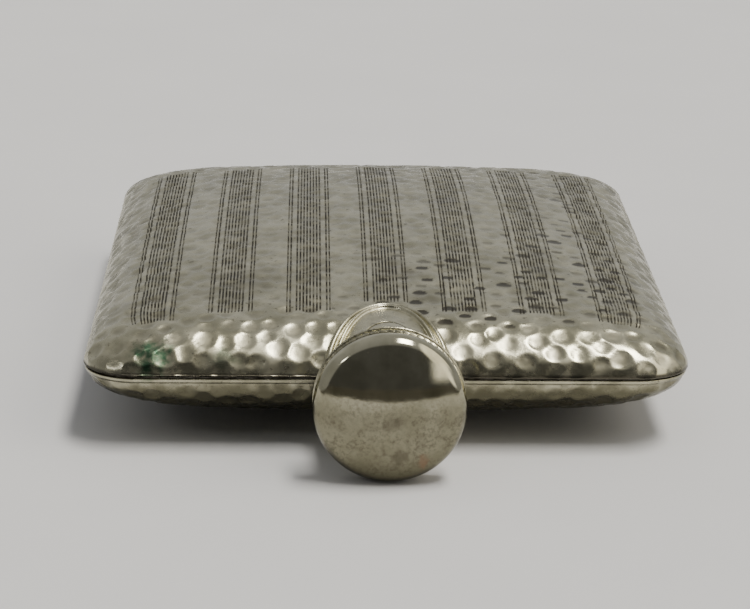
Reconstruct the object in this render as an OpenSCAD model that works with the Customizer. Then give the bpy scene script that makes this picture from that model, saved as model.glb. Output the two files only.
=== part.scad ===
// Pillow-shaped pocket flask with a screw cap, lying on its back.
// +Z is up, the long axis lies along Y with the cap towards -Y, and +X is to the right.
// The origin is at the middle of the whole flask's outline, on the face it rests on.

/* [Body] */
// Width across the body
body_w = 92; // [84:1:100]
// Length of the body from its neck edge to its base
body_l = 115; // [105:1:125]
// Height of the seam above the face that the flask rests on
seam_z = 11.5; // [11.4:0.1:12.5]
// How far the rounded edge runs in from the seam
edge_run = 9; // [8:0.5:11]
// How far the rounded edge rises from the seam
edge_rise = 6; // [5.5:0.25:7]
// Radius of the corners in plan
corner_r = 8; // [6:0.5:12]
// Thickness of the sheet
sheet_t = 0.8; // [0.6:0.1:1]

/* [Neck] */
// Outer radius of the neck sleeve
neck_r = 7.9; // [7.7:0.1:8.1]
// Wall of the neck sleeve
sleeve_t = 0.6; // [0.5:0.05:0.7]
// Radius of the passage through the neck
bore_r = 6; // [5.5:0.1:6.1]
// Width of the moulded collar on the shoulder
collar_w = 1.9; // [1.4:0.1:2.4]

/* [Thread] */
// Pitch of the cap thread
pitch = 1.6; // [1.4:0.1:1.8]
// Depth of the neck thread
thread_depth = 0.55; // [0.45:0.05:0.6]

/* [Cap] */
// Largest radius of the cap
cap_r = 11.3; // [11:0.05:11.35]
// Radius of the milled flange at the cap's rim
milled_r = 10.9; // [10.6:0.05:11]
// Radius of the cap's rounded shoulder
shoulder_r = 2.5; // [2:0.1:3]
// Radius of the cap's domed top
dome_r = 25; // [22:1:30]
// Distance from the neck edge of the body to the cap's rim
rim_gap = 9.8; // [9.2:0.1:10.4]
// Number of grooves in the milled flange
milled_count = 60; // [36:1:64]

/* [Hidden] */

$fn = 96;

// Plan outline: steps round each corner and along each side
ARC_STEPS = 6;
SIDE_STEPS = 9;
// Rings from the seam to the top of the rounded edge, then scales of the last ring to the middle
EDGE_STEPS = 8;
INNER_SCALES = [0.84, 0.64, 0.42, 0.2];
// How much the corner radius grows for each millimetre in from the seam
CORNER_GROWTH = 0.6;

// Lap seam
solder_t = 0.25;
solder_inset = 0.45;
front_rim_z = 0.15;
back_rim_z = front_rim_z - solder_t;
overhang = 0.35;
lip_z = 1.5;
lip_inset = 1.35;
lip_t = 0.6;

front_crown = seam_z - front_rim_z - edge_rise;
// The back bulges a little further and is pressed flat where it rests
rest_flat = 0.4;
back_crown = seam_z + back_rim_z - edge_rise + rest_flat;

// Neck and cap stations, measured from the neck edge of the body towards the cap
sleeve_inner_end = -15;
sleeve_outer_end = rim_gap - 0.6;
ferrule_inner_end = -3;
ferrule_lip = rim_gap + 3.4;
seat_t = 0.3;
arch_power = 2.1;
// The collar clears the sleeve and the shells by this much
collar_gap = 0.15;
collar_web_t = 0.6;
flange_t = 1.6;
barrel_r = 9;
barrel_end = rim_gap + 5.1;
recess_start = rim_gap + 3.25;
recess_r = 8.45;
cork_gap = 0.06;
cork_r = 8.2;
cork_end = rim_gap + 5.15;
plate_t = 0.35;
plate_r = 7.6;
dome_start = rim_gap + flange_t;
shoulder_pos = rim_gap + 3.4;
shoulder_axis_r = cap_r - shoulder_r;
dome_centre = shoulder_pos - sqrt(pow(dome_r - shoulder_r, 2) - pow(shoulder_axis_r, 2));
dome_sheet_t = 0.7;
dome_skirt_r = 11;
cap_apex = dome_centre + dome_r;

// Thread form and clearance
thread_r = neck_r - 0.3;
radial_gap = 0.15;
crest_w = 0.35;
root_w = 0.75;
thread_steps = 30;
fuse = 0.15;

total_l = body_l + cap_apex;
neck_edge_y = -total_l / 2 + cap_apex;
body_y = neck_edge_y + body_l / 2;

metal = "#8f8c80";
cap_metal = "#96937f";
brass = "#b09a62";
solder = "#55524a";
cork = "#b98f5e";

// ---- Plan outlines -------------------------------------------------------------------------

function mix(a, b, t) = a + (b - a) * t;

function corner(q, hx, hy, r, k) =
    let (cx = (q == 0 || q == 3 ? 1 : -1) * (hx - r),
         cy = (q < 2 ? 1 : -1) * (hy - r),
         a = 90 * (q + k / ARC_STEPS))
    [cx + r * cos(a), cy + r * sin(a)];

// One closed outline: a rounded rectangle with the same number of points at every size
function outline(hx, hy, r) = [
    for (q = [0:3], k = [0:ARC_STEPS + SIDE_STEPS - 1])
        k <= ARC_STEPS
            ? corner(q, hx, hy, r, k)
            : mix(corner(q, hx, hy, r, ARC_STEPS), corner((q + 1) % 4, hx, hy, r, 0),
                  (k - ARC_STEPS) / SIDE_STEPS)
];

function inset_outline(l) =
    outline(body_w / 2 - l, body_l / 2 - l, corner_r + CORNER_GROWTH * l);

// ---- Pillow surface ------------------------------------------------------------------------

// Rise of the crown above the rounded edge
function crown(p, top) =
    top * (1 - pow(2 * p[0] / body_w, 2)) * (1 - pow(2 * p[1] / body_l, 2));

function lift(points, rise, top, base, way) = [
    for (p = points) [p[0], p[1], way * (base + rise + crown(p, top))]
];

// Rings of one skin from the seam to the middle; start is how far its seam edge lies inside the body's
function skin(start, rise, run, top, base, way) = [
    for (k = [0:EDGE_STEPS])
        let (a = 90 * k / EDGE_STEPS)
        lift(inset_outline(start + run * (1 - cos(a))), rise * sin(a), top * sin(a), base, way),
    for (s = INNER_SCALES)
        lift([for (p = inset_outline(start + run)) s * p], rise, top, base, way)
];

function reversed(list) = [for (i = [len(list) - 1:-1:0]) list[i]];

function flat_ring(l, z) = [for (p = inset_outline(l)) [p[0], p[1], z]];

// A closed solid through a list of rings, with a point in the middle of its first and last skin
module ring_solid(rings, first, last) {
    n = len(rings[0]);
    count = len(rings);
    points = concat([for (r = rings, p = r) p], [first, last]);
    sides = [
        for (i = [0:count - 2], j = [0:n - 1])
            let (a = i * n + j, b = i * n + (j + 1) % n)
            each [[a, b, b + n], [a, b + n, a + n]]
    ];
    ends = [
        for (j = [0:n - 1])
            each [[count * n, (j + 1) % n, j],
                  [count * n + 1, (count - 1) * n + j, (count - 1) * n + (j + 1) % n]]
    ];
    polyhedron(points, concat(sides, ends), convexity = 6);
}

// A closed ring with no ends, swept round a loop of sections
module loop_solid(sections) {
    n = len(sections[0]);
    count = len(sections);
    points = [for (s = sections, p = s) p];
    faces = [
        for (i = [0:count - 1], j = [0:n - 1])
            let (a = i * n + j, b = i * n + (j + 1) % n,
                 c = ((i + 1) % count) * n + j, d = ((i + 1) % count) * n + (j + 1) % n)
            each [[a, c, d], [a, d, b]]
    ];
    polyhedron(points, faces, convexity = 6);
}

// ---- Body ----------------------------------------------------------------------------------

module on_body() {
    translate([0, body_y, seam_z]) children();
}

// Everything turned round the neck is drawn upwards from the neck edge, then laid along -Y
module on_neck() {
    translate([0, neck_edge_y, seam_z]) rotate([90, 0, 0]) children();
}

module neck_opening() {
    on_neck() translate([0, 0, sleeve_inner_end]) cylinder(r = neck_r, h = 2 * abs(sleeve_inner_end));
}

module front_shell() {
    outer = skin(0, edge_rise, edge_run, front_crown, front_rim_z, 1);
    inner = skin(sheet_t, edge_rise - sheet_t, edge_run, front_crown, front_rim_z, 1);
    color(metal) difference() {
        on_body() ring_solid(concat(reversed(inner), outer),
                             [0, 0, front_rim_z + edge_rise - sheet_t + front_crown],
                             [0, 0, front_rim_z + edge_rise + front_crown]);
        neck_opening();
    }
}

module back_shell() {
    base = -back_rim_z;
    outer = skin(overhang, edge_rise, edge_run, back_crown, base, -1);
    inner = skin(lip_inset + lip_t, edge_rise - sheet_t, edge_run, back_crown, base, -1);
    lip = [
        flat_ring(lip_inset, back_rim_z),
        flat_ring(lip_inset, lip_z),
        flat_ring(lip_inset + lip_t, lip_z)
    ];
    below = 2 * rest_flat;
    color(metal) difference() {
        on_body() ring_solid(concat(reversed(outer), lip, inner),
                             [0, 0, -(base + edge_rise + back_crown)],
                             [0, 0, -(base + edge_rise - sheet_t + back_crown)]);
        neck_opening();
        translate([-body_w / 2, body_y - body_l / 2, -below]) cube([body_w, body_l, below]);
    }
}

module seam_solder() {
    sections = [
        for (j = [0:len(inset_outline(0)) - 1])
            let (a = inset_outline(solder_inset)[j], b = inset_outline(lip_inset)[j])
            [[a[0], a[1], back_rim_z], [b[0], b[1], back_rim_z],
             [b[0], b[1], front_rim_z], [a[0], a[1], front_rim_z]]
    ];
    color(solder) difference() {
        on_body() loop_solid(sections);
        neck_opening();
    }
}

// ---- Collar --------------------------------------------------------------------------------

// Distance of a skin from the seam plane, at x across and d in from the neck edge;
// side is 1 on the front and -1 on the back
function shoulder_h(x, d, side) =
    let (t = min(max(d, 0) / edge_run, 1),
         e = sqrt(1 - pow(1 - t, 2)))
    (side > 0 ? front_rim_z : -back_rim_z) + edge_rise * e
    + e * crown([x, body_l / 2 - d], side > 0 ? front_crown : back_crown);

// How far in from the neck edge the skin first reaches height z, by halving the interval
function reach(x, z, side, lo, hi, steps) =
    steps == 0 ? hi
    : let (mid = (lo + hi) / 2)
      shoulder_h(x, mid, side) < z ? reach(x, z, side, mid, hi, steps - 1)
                                   : reach(x, z, side, lo, mid, steps - 1);

// How far in the sleeve meets the shoulder at angle a round the neck
function junction(a) =
    reach(neck_r * sin(a), neck_r * abs(cos(a)), sign(cos(a)), 0, 2 * abs(sleeve_inner_end), 24);

// The moulding follows a rounder arch than the junction does
arch_tops = [junction(0), junction(180)];
function arch(a) = max(junction(a), arch_tops[cos(a) > 0 ? 0 : 1] * pow(abs(cos(a)), arch_power));

// A point on the shoulder at angle a round the neck: t goes from the junction to the arch,
// w is how far out it lies from there, and h is how far it is lifted
function collar_point(a, t, w, h) =
    let (side = sign(cos(a)),
         x = (neck_r + w) * sin(a),
         d = mix(junction(a), arch(a), t) + w * abs(cos(a)),
         z = shoulder_h(x, d, side),
         step = 0.2,
         sx = (shoulder_h(x + step, d, side) - shoulder_h(x - step, d, side)) / (2 * step),
         sd = (shoulder_h(x, d + step, side) - z) / step,
         m = sqrt(sx * sx + sd * sd + 1))
    [x - h * sx / m, -body_l / 2 + d - h * sd / m, side * (z + h / m)];

module neck_collar() {
    // Each point of the moulding: share of the way to the arch, distance out, height
    web = [for (t = [0, 0.35, 0.7]) [t, collar_gap, collar_web_t]];
    roll = [[1, 0.1, 0.65], [1, 0.5, 0.5], [1, 0.7, 0.25], [1, 1.1, 0.25], [1, 1.4, 0.45]];
    under = [for (t = [1, 0.7, 0.35, 0]) [t, collar_gap, collar_gap]];
    moulding = concat(web, roll, [[1, collar_w, collar_gap]], under);
    turns = 144;
    color(metal) on_body() loop_solid([
        for (k = [0:turns - 1])
            [for (m = moulding) collar_point(360 * (k + 0.5) / turns, m[0], m[1], m[2])]
    ]);
}

// ---- Neck ----------------------------------------------------------------------------------

module tube(outer, inner, from, to) {
    translate([0, 0, from]) difference() {
        cylinder(r = outer, h = to - from);
        translate([0, 0, -fuse]) cylinder(r = inner, h = to - from + 2 * fuse);
    }
}

// A helical ridge: base is the radius it stands on and tip its crest, inwards or outwards
module ridge(base, tip, from, to) {
    height = to - from - root_w;
    count = floor(height / pitch * thread_steps);
    sink = base + sign(base - tip) * fuse;
    sections = [
        for (k = [0:count])
            let (a = 360 * k / thread_steps,
                 z = from + root_w / 2 + pitch * k / thread_steps)
            [for (p = [[sink, -root_w / 2], [sink, root_w / 2], [tip, crest_w / 2], [tip, -crest_w / 2]])
                [p[0] * cos(a), p[0] * sin(a), z + p[1]]]
    ];
    sides = [
        for (i = [0:count - 1], j = [0:3])
            let (a = 4 * i + j, b = 4 * i + (j + 1) % 4)
            each [[a, b, b + 4], [a, b + 4, a + 4]]
    ];
    faces = concat(sides, [[3, 2, 1], [3, 1, 0]],
                   [[4 * count, 4 * count + 1, 4 * count + 2], [4 * count, 4 * count + 2, 4 * count + 3]]);
    polyhedron([for (s = sections, p = s) p],
               tip > base ? [for (f = faces) reversed(f)] : faces, convexity = 6);
}

module neck_sleeve() {
    color(metal) on_neck() tube(neck_r, neck_r - sleeve_t, sleeve_inner_end, sleeve_outer_end);
}

module neck_ferrule() {
    shank_r = neck_r - sleeve_t;
    root = thread_r - thread_depth;
    color(brass) on_neck() union() {
        tube(shank_r, bore_r, ferrule_inner_end, sleeve_outer_end);
        tube(neck_r, bore_r, sleeve_outer_end, sleeve_outer_end + seat_t);
        tube(root, bore_r, sleeve_outer_end + seat_t, ferrule_lip);
        ridge(root, thread_r, rim_gap, ferrule_lip - crest_w);
    }
}

// ---- Cap -----------------------------------------------------------------------------------

function arc(centre, r, from, to, steps) = [
    for (k = [0:steps])
        let (a = mix(from, to, k / steps))
        [r * cos(a), centre + r * sin(a)]
];

// Outer profile of the dome from its skirt to its apex, set in by t
function dome_profile(t) =
    let (tangent = acos(shoulder_axis_r / (dome_r - shoulder_r)),
         bend = arc(shoulder_pos, shoulder_r - t, 0, tangent, 8),
         shoulder = [for (p = bend) [p[0] + shoulder_axis_r, p[1]]],
         top = arc(dome_centre, dome_r - t, tangent, 90, 12))
    concat([[dome_skirt_r - t, dome_start]], shoulder, [for (i = [1:len(top) - 1]) top[i]]);

module cap_dome() {
    color(cap_metal) on_neck() rotate_extrude()
        polygon(concat(dome_profile(0), reversed(dome_profile(dome_sheet_t))));
}

module cap_barrel() {
    groove_r = 0.32;
    root = thread_r + radial_gap;
    crest = root - thread_depth;
    color(brass) on_neck() union() {
        difference() {
            translate([0, 0, rim_gap]) cylinder(r = milled_r, h = flange_t);
            translate([0, 0, rim_gap - fuse]) cylinder(r = root, h = flange_t + 2 * fuse);
            for (k = [0:milled_count - 1])
                rotate([0, 0, 360 * k / milled_count]) translate([milled_r, 0, rim_gap - fuse])
                    cylinder(r = groove_r, h = flange_t + 2 * fuse, $fn = 6);
        }
        tube(barrel_r, root, dome_start, recess_start);
        tube(barrel_r, recess_r, recess_start, barrel_end);
        ridge(root, crest, rim_gap + pitch / 2, recess_start);
    }
}

module liner_plate() {
    color(brass) on_neck() translate([0, 0, cork_end]) cylinder(r = plate_r, h = plate_t);
}

module cork_disc() {
    from = ferrule_lip + cork_gap;
    color(cork) on_neck() translate([0, 0, from]) cylinder(r = cork_r, h = cork_end - from);
}

front_shell();
back_shell();
seam_solder();
neck_collar();
neck_sleeve();
neck_ferrule();
cap_dome();
cap_barrel();
liner_plate();
cork_disc();
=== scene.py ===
"""Looks of the pocket flask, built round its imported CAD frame.

Shapes are worked out in millimetres in the CAD frame and handed to Blender in metres. Along the neck,
a station is the distance from the neck edge of the body towards the cap, which is the -Y direction.
"""

import math

import bpy
import numpy as np
from mathutils import Matrix, Vector, kdtree, noise


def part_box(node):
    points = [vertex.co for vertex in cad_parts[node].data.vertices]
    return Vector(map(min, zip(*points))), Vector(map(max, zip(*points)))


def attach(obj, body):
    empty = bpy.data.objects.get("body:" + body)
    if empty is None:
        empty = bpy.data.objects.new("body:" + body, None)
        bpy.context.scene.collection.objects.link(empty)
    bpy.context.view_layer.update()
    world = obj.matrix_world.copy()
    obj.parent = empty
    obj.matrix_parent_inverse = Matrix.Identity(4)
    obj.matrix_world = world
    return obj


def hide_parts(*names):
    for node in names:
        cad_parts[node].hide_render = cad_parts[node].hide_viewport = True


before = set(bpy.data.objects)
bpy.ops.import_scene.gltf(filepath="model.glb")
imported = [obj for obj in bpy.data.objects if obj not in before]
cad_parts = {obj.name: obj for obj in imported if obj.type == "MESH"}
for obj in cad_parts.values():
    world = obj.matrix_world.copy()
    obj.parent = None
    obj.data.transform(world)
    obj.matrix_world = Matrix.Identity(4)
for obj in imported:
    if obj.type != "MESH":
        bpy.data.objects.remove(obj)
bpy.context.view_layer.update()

MM = 0.001


def node_box(name):
    """Lowest and highest corner of a CAD node, in millimetres."""
    low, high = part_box(name)
    return np.array(low) / MM, np.array(high) / MM


# ---- Measures from the frame ---------------------------------------------------------------

front_low, front_high = node_box("front_shell")
sleeve_low, sleeve_high = node_box("neck_sleeve")
barrel_low, barrel_high = node_box("cap_barrel")
dome_low, dome_high = node_box("cap_dome")
ferrule_low, ferrule_high = node_box("neck_ferrule")
cork_low, cork_high = node_box("cork_disc")
plate_low, plate_high = node_box("liner_plate")

HALF_W = (front_high[0] - front_low[0]) / 2
HALF_L = (front_high[1] - front_low[1]) / 2
BODY_Y = (front_high[1] + front_low[1]) / 2
NECK_EDGE_Y = front_low[1]
SEAM_Z = (sleeve_high[2] + sleeve_low[2]) / 2
NECK_R = (sleeve_high[0] - sleeve_low[0]) / 2


def station(y):
    return NECK_EDGE_Y - y


RIM_GAP = station(barrel_high[1])
BARREL_END = station(barrel_low[1])
SLEEVE_INNER_END = station(sleeve_high[1])
SLEEVE_OUTER_END = station(sleeve_low[1])
FERRULE_INNER_END = station(ferrule_high[1])
FERRULE_LIP = station(ferrule_low[1])
DOME_START = station(dome_high[1])
CAP_APEX = station(dome_low[1])
CAP_R = (dome_high[0] - dome_low[0]) / 2

# Shape of the two shells, as the CAD has it
EDGE_RUN, EDGE_RISE = 9.0, 6.0
CORNER_R, CORNER_GROWTH = 8.0, 0.6
SHEET_T = 0.8
FRONT_RIM, BACK_RIM = 0.15, 0.10
OVERHANG = 0.35
LIP_Z, LIP_INSET, LIP_T = 1.5, 1.35, 0.6
REST_FLAT = 0.4
FRONT_CROWN = front_high[2] - SEAM_Z - FRONT_RIM - EDGE_RISE
BACK_CROWN = SEAM_Z - BACK_RIM - EDGE_RISE + REST_FLAT

# ---- Camera --------------------------------------------------------------------------------

LENS = 139.2
SENSOR = 36.0
PITCH, YAW, ROLL = math.radians(16.17), math.radians(1.38), math.radians(-0.66)
# Where the middle of the near seam lies in the view: to the right, up and away, in millimetres
NEAR_SEAM_IN_VIEW = (2.02, -11.23, 433.9)


def make_camera():
    forward = Vector((math.sin(YAW) * math.cos(PITCH), math.cos(YAW) * math.cos(PITCH), -math.sin(PITCH)))
    right = Vector((math.cos(YAW), -math.sin(YAW), 0))
    up = right.cross(forward)
    across, above, away = NEAR_SEAM_IN_VIEW
    near_seam = Vector((0, NECK_EDGE_Y, SEAM_Z))
    eye = near_seam - away * forward - across * right - above * up
    rolled_right = math.cos(ROLL) * right - math.sin(ROLL) * up
    rolled_up = math.sin(ROLL) * right + math.cos(ROLL) * up
    data = bpy.data.cameras.new("camera")
    data.lens = LENS
    data.sensor_width = SENSOR
    data.clip_start = 0.01
    data.clip_end = 50
    camera = bpy.data.objects.new("camera", data)
    bpy.context.scene.collection.objects.link(camera)
    turn = Matrix((rolled_right, rolled_up, -forward)).transposed()
    camera.matrix_world = Matrix.Translation(eye * MM) @ turn.to_4x4()
    bpy.context.scene.camera = camera


make_camera()

# ---- Mesh helpers --------------------------------------------------------------------------


def smoothstep(low, high, value):
    t = np.clip((value - low) / (high - low), 0, 1)
    return t * t * (3 - 2 * t)


def enclosed_volume(points, faces):
    """Signed volume of a closed mesh whose faces have three or four corners."""
    total = 0.0
    for face in faces:
        face = np.asarray(face)
        for second in range(1, face.shape[1] - 1):
            a, b, c = points[face[:, 0]], points[face[:, second]], points[face[:, second + 1]]
            total += np.einsum("ij,ij->i", a, np.cross(b, c)).sum()
    return total / 6


def mesh_piece(name, points, faces):
    """A smooth-shaded object from points in millimetres and a list of face arrays, facing outwards."""
    points = np.asarray(points, float)
    if enclosed_volume(points - points.mean(0), faces) < 0:
        faces = [np.asarray(f)[:, ::-1] for f in faces]
    mesh = bpy.data.meshes.new(name)
    mesh.from_pydata((points * MM).tolist(), [], [f for part in faces for f in np.asarray(part).tolist()])
    mesh.polygons.foreach_set("use_smooth", np.ones(len(mesh.polygons), bool))
    mesh.update()
    piece = bpy.data.objects.new(name, mesh)
    bpy.context.scene.collection.objects.link(piece)
    return piece


def vertex_normals(mesh):
    normals = np.empty(len(mesh.vertices) * 3, np.float32)
    mesh.vertices.foreach_get("normal", normals)
    return normals.reshape(-1, 3).astype(float)


def vertex_points(mesh):
    points = np.empty(len(mesh.vertices) * 3, np.float32)
    mesh.vertices.foreach_get("co", points)
    return points.reshape(-1, 3).astype(float) / MM


def set_points(mesh, points):
    mesh.vertices.foreach_set("co", (points * MM).astype(np.float32).ravel())
    mesh.update()


def set_attribute(mesh, key, values):
    layer = mesh.attributes.new(key, "FLOAT", "POINT")
    layer.data.foreach_set("value", np.asarray(values, np.float32))


def waviness(points, size, seed):
    """Smooth noise from -1 to 1 at each point; size is the length of its waves in millimetres."""
    shift = Vector((seed, 2.7 * seed, 1.3 * seed))
    return np.array([noise.noise(Vector(p) / size + shift) for p in points.tolist()])


def chaikin(points, rounds):
    """Rounds the corners of an open line of points and keeps its two ends."""
    points = np.asarray(points, float)
    for _ in range(rounds):
        first, second = points[:-1], points[1:]
        cut = np.stack([0.75 * first + 0.25 * second, 0.25 * first + 0.75 * second], 1)
        points = np.vstack([points[:1], cut.reshape(-1, points.shape[1])[1:-1], points[-1:]])
    return points


def turned(name, profile, segments, shape=None):
    """A piece turned round the neck axis. The profile is (radius, station); where it starts and ends
    on the axis it closes with a point, and otherwise it closes on itself. shape moves (radius, station)
    for a given angle."""
    profile = np.asarray(profile, float)
    solid = profile[0, 0] == 0 and profile[-1, 0] == 0
    rings = profile[1:-1] if solid else profile
    count = len(rings)
    angle = np.arange(segments) * 2 * math.pi / segments
    radius = np.repeat(rings[:, :1], segments, 1)
    along = np.repeat(rings[:, 1:], segments, 1)
    turn = np.repeat(angle[None, :], count, 0)
    if shape:
        radius, along = shape(radius, along, turn)
    points = np.stack([radius * np.cos(turn), NECK_EDGE_Y - along, SEAM_Z + radius * np.sin(turn)], -1)
    index = np.arange(count * segments).reshape(count, segments)
    upper = index if not solid else index[:-1]
    lower = np.roll(index, -1, 0) if not solid else index[1:]
    quads = np.stack([upper, np.roll(upper, -1, 1), np.roll(lower, -1, 1), lower], -1).reshape(-1, 4)
    points = points.reshape(-1, 3)
    faces = [quads]
    if solid:
        tips = [[0, NECK_EDGE_Y - profile[0, 1], SEAM_Z], [0, NECK_EDGE_Y - profile[-1, 1], SEAM_Z]]
        points = np.vstack([points, tips])
        first, last = index[0], index[-1]
        start = np.full(segments, len(points) - 2)
        end = np.full(segments, len(points) - 1)
        faces.append(np.stack([start, np.roll(first, -1), first], -1))
        faces.append(np.stack([end, last, np.roll(last, -1)], -1))
    return mesh_piece(name, points, faces)


def cut(piece, cutter):
    """Takes the cutter away from the piece, for good."""
    change = piece.modifiers.new("cut", "BOOLEAN")
    change.operation = "DIFFERENCE"
    change.solver = "MANIFOLD"
    change.object = cutter
    graph = bpy.context.evaluated_depsgraph_get()
    mesh = bpy.data.meshes.new_from_object(piece.evaluated_get(graph))
    piece.modifiers.clear()
    piece.data = mesh


# ---- Pillow surface ------------------------------------------------------------------------


def straight_half(inset):
    """Half lengths of the straight sides of the plan outline, this far in."""
    used = CORNER_R + (1 + CORNER_GROWTH) * inset
    return HALF_W - used, HALF_L - used


def inset_of(x, y):
    """How far in from the outline each plan point lies, on the family of rounded outlines."""
    x, y = np.abs(x), np.abs(y)
    side = np.minimum(HALF_W - x, HALF_L - y)
    a, b = x - (HALF_W - CORNER_R), y - (HALF_L - CORNER_R)
    spread = 1 + CORNER_GROWTH
    square = 2 * spread**2 - CORNER_GROWTH**2
    linear = 2 * spread * (a + b) - 2 * CORNER_R * CORNER_GROWTH
    constant = a * a + b * b - CORNER_R**2
    corner = (-linear + np.sqrt(np.maximum(linear**2 - 4 * square * constant, 0))) / (2 * square)
    in_corner = (a + spread * corner > 0) & (b + spread * corner > 0)
    return np.maximum(np.where(in_corner, corner, side), 0)


def crown(x, y):
    return (1 - (x / HALF_W) ** 2) * (1 - (y / HALF_L) ** 2)


def skin_height(x, y, start, rise, top, base):
    """Height of a skin over the seam plane; start is how far its seam edge lies inside the outline."""
    cosine = np.clip(1 - (inset_of(x, y) - start) / EDGE_RUN, 0, 1)
    return base + (rise + top * crown(x, y)) * np.sqrt(1 - cosine**2)


def edge_insets(start, stop_inset, steps):
    """Insets evenly spaced round the curved edge, from stop_inset out to the seam."""
    widest = math.acos(1 - stop_inset / EDGE_RUN)
    angle = np.linspace(widest, 0, steps + 1)
    return start + EDGE_RUN * (1 - np.cos(angle))


def rounded_patch(columns, rows, inset):
    """A grid of plan points whose border is the outline at this inset; its lines stay straight except
    near the four corners."""
    x, y = np.meshgrid(columns, rows)
    sx, sy = straight_half(inset)
    r = CORNER_R + CORNER_GROWTH * inset
    u, v = np.maximum(np.abs(x) - sx, 0) / r, np.maximum(np.abs(y) - sy, 0) / r
    px = np.where(u > 0, np.sign(x) * (sx + r * u * np.sqrt(1 - v * v / 2)), x)
    py = np.where(v > 0, np.sign(y) * (sy + r * v * np.sqrt(1 - u * u / 2)), y)
    return px, py


def moved_ring(x, y, old_inset, new_inset):
    """The points of the outline at one inset, carried to another inset."""
    (sx, sy), (nx, ny) = straight_half(old_inset), straight_half(new_inset)
    r = CORNER_R + CORNER_GROWTH * new_inset
    ax, ay = np.abs(x), np.abs(y)
    angle = np.arctan2(np.maximum(ay - sy, 0), np.maximum(ax - sx, 0))
    on_corner = (ax > sx) & (ay > sy)
    on_end = ~on_corner & (ax <= sx)
    px = np.where(on_corner, nx + r * np.cos(angle), np.where(on_end, ax * nx / sx, HALF_W - new_inset))
    py = np.where(on_corner, ny + r * np.sin(angle), np.where(on_end, HALF_L - new_inset, ay * ny / sy))
    return np.sign(x) * px, np.sign(y) * py


def shell_piece(name, columns, rows, patch_inset, patch_height, rings, way):
    """One shell as a closed solid. The patch covers the broad face; rings lists (inset, height) round the
    edge, under the rim and over the inner skin, where height is a number or a function of x and y, and an
    inset under zero shrinks the last ring to that share instead. way is +1 upwards and -1 downwards. The
    points of the outer skin come first in the mesh."""
    px, py = rounded_patch(columns, rows, patch_inset)
    n_rows, n_cols = px.shape
    index = np.arange(n_rows * n_cols).reshape(n_rows, n_cols)
    loop = np.concatenate([index[0, :-1], index[:-1, -1], index[-1, :0:-1], index[:0:-1, 0]])
    n = len(loop)
    points = [np.stack([px, py, patch_height(px, py)], -1).reshape(-1, 3)]
    quads = [np.stack([index[:-1, :-1], index[:-1, 1:], index[1:, 1:], index[1:, :-1]], -1).reshape(-1, 4)]
    loop_x, loop_y = px.ravel()[loop], py.ravel()[loop]
    x, y = loop_x, loop_y
    before, total = loop, n_rows * n_cols
    for inset, height in rings:
        if inset < 0:
            x, y = -inset * x, -inset * y
        else:
            x, y = moved_ring(loop_x, loop_y, patch_inset, inset)
        z = height(x, y) if callable(height) else np.full(n, height)
        points.append(np.stack([x, y, z], -1))
        ring = np.arange(total, total + n)
        quads.append(np.stack([before, ring, np.roll(ring, -1), np.roll(before, -1)], -1))
        before, total = ring, total + n
    points.append([[0, 0, points[-1][:, 2].max()]])
    tip = np.full(n, total)
    fan = np.stack([before, tip, np.roll(before, -1)], -1)
    points = np.vstack(points) * [1, 1, way] + [0, BODY_Y, SEAM_Z]
    return mesh_piece(name, points, [np.vstack(quads), fan])


# ---- Hammering and engraving ---------------------------------------------------------------


def scattered(points, spacing, tries, rng):
    """Indices of points picked at random, none nearer than spacing to another."""
    cells = {}
    picked = []
    for i in rng.integers(0, len(points), tries):
        p = points[i]
        cell = tuple(np.floor(p / spacing).astype(int))
        near = (
            cells.get((cell[0] + a, cell[1] + b, cell[2] + c), ())
            for a in (-1, 0, 1) for b in (-1, 0, 1) for c in (-1, 0, 1)
        )
        if all((q[0] - p[0]) ** 2 + (q[1] - p[1]) ** 2 + (q[2] - p[2]) ** 2 >= spacing**2
               for group in near for q in group):
            cells.setdefault(cell, []).append(p.tolist())
            picked.append(i)
    return picked


def hammer_marks(points, candidates, rng):
    """Depth of the hammer marks at each point, and how much painted shade sits in them. The marks are round
    bowls with steep walls, the deepest one where they meet. The painted shade is a dark crescent on the far
    side of each bowl, in place of the shading of that wall."""
    tree = kdtree.KDTree(len(points))
    for i, p in enumerate(points.tolist()):
        tree.insert(p, i)
    tree.balance()
    result = np.zeros(len(points))
    painted_shade = np.zeros(len(points))
    for i in scattered(candidates, HAMMER_SPACING, HAMMER_TRIES, rng):
        r = rng.uniform(*HAMMER_RADIUS)
        d = rng.uniform(*HAMMER_DEPTH)
        middle = candidates[i].tolist()
        for _, j, distance in tree.find_range(middle, r):
            result[j] = max(result[j], d * (1 - (distance / r) ** BOWL_POWER))
        # Painted shade: a dark crescent on the far wall of some bowls, standing in for the shading of that
        # wall.
        amount = rng.uniform(*PAINTED_SHADE_SHARE)
        if amount > 0:
            size = r * rng.uniform(*PAINTED_SHADE_SIZE)
            for place, j, distance in tree.find_range(middle, size):
                far_side = smoothstep(-0.6, 0.2, (place.y - middle[1]) / size)
                inside = 1 - smoothstep(0.7, 1.0, distance / size)
                painted_shade[j] = max(painted_shade[j], min(amount * far_side * inside, 1))
    return result, painted_shade


HAMMER_TRIES = 60000
CANDIDATE_SPREAD = 0.35
HAMMER_SPACING = 2.6
HAMMER_RADIUS = (1.35, 1.75)
HAMMER_DEPTH = (0.18, 0.30)
# How steep the walls of a bowl are: 2 is a plain paraboloid
BOWL_POWER = 3.0
# Depth of the marks on the broad face, against the ones on the shoulder
TOP_SHARE = 0.8
# Range of the painted shade on a mark's far wall, where under zero means none, and its reach as a share of
# the mark's radius
PAINTED_SHADE_SHARE = (-0.1, 1.35)
PAINTED_SHADE_SIZE = (0.6, 0.95)
WAVE_HEIGHT, WAVE_SIZE = 0.05, 9.0
FRONT_SEED, BACK_SEED = 11, 23
# Tarnish inside the front shell and on its rim
FRONT_TARNISH = 0.7


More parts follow.
